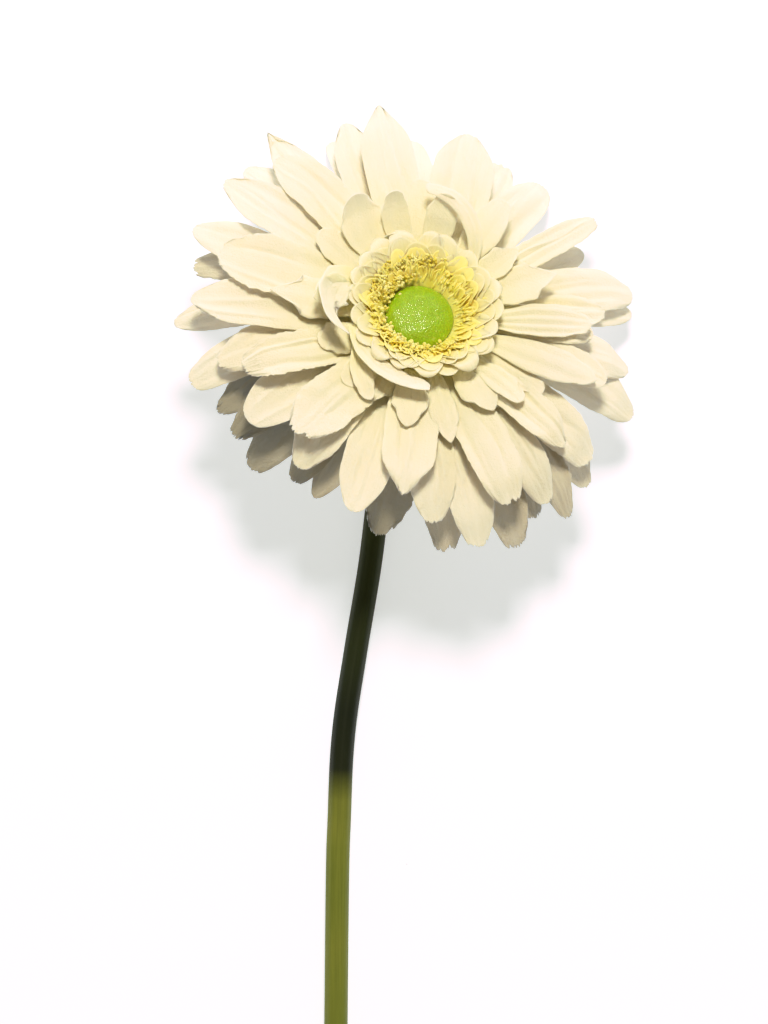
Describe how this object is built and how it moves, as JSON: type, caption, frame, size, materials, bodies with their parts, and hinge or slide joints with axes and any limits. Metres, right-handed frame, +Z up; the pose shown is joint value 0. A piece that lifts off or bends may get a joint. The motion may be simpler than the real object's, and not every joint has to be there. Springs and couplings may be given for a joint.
{
  "type": "cut gerbera",
  "caption": "Cut gerbera lying on its side: a long bent stem and a full head of cream ray petals turned up round a pleated frill, a stamen ring and a green centre.",
  "frame": {"origin": "bottom centre of the flower's box, on the surface that it lies on", "axes": "+Z up from the surface, +Y along the stem from its cut end to the flower head, +X to the right when looking down with the head at the top"},
  "size_m": [0.1092, 0.3628, 0.0482],
  "materials": {
    "petal": "matte",
    "frill": "matte",
    "stamen": "matte",
    "button": "gloss",
    "stem": "satin",
    "bract": "matte"
  },
  "bodies": {
    "root": {"back_petal_01": "petal", "back_petal_02": "petal", "back_petal_03": "petal", "back_petal_04": "petal", "back_petal_05": "petal", "back_petal_06": "petal", "back_petal_07": "petal", "back_petal_08": "petal", "back_petal_09": "petal", "back_petal_10": "petal", "back_petal_11": "petal", "back_petal_12": "petal", "back_petal_13": "petal", "back_petal_14": "petal", "back_petal_15": "petal", "back_petal_16": "petal", "back_petal_17": "petal", "back_petal_18": "petal", "back_petal_19": "petal", "back_petal_20": "petal", "back_petal_21": "petal", "middle_petal_01": "petal", "middle_petal_02": "petal", "middle_petal_03": "petal", "middle_petal_04": "petal", "middle_petal_05": "petal", "middle_petal_06": "petal", "middle_petal_07": "petal", "middle_petal_08": "petal", "middle_petal_09": "petal", "middle_petal_10": "petal", "middle_petal_11": "petal", "middle_petal_12": "petal", "middle_petal_13": "petal", "middle_petal_14": "petal", "middle_petal_15": "petal", "middle_petal_16": "petal", "middle_petal_17": "petal", "front_petal_01": "petal", "front_petal_02": "petal", "front_petal_03": "petal", "front_petal_04": "petal", "front_petal_05": "petal", "front_petal_06": "petal", "front_petal_07": "petal", "front_petal_08": "petal", "front_petal_09": "petal", "front_petal_10": "petal", "front_petal_11": "petal", "front_petal_12": "petal", "front_petal_13": "petal", "front_petal_14": "petal", "short_petals": "petal", "frill": "frill", "stamen_ring": "stamen", "green_button": "button", "bracts": "bract", "stem": "stem"}
  },
  "joints": []
}
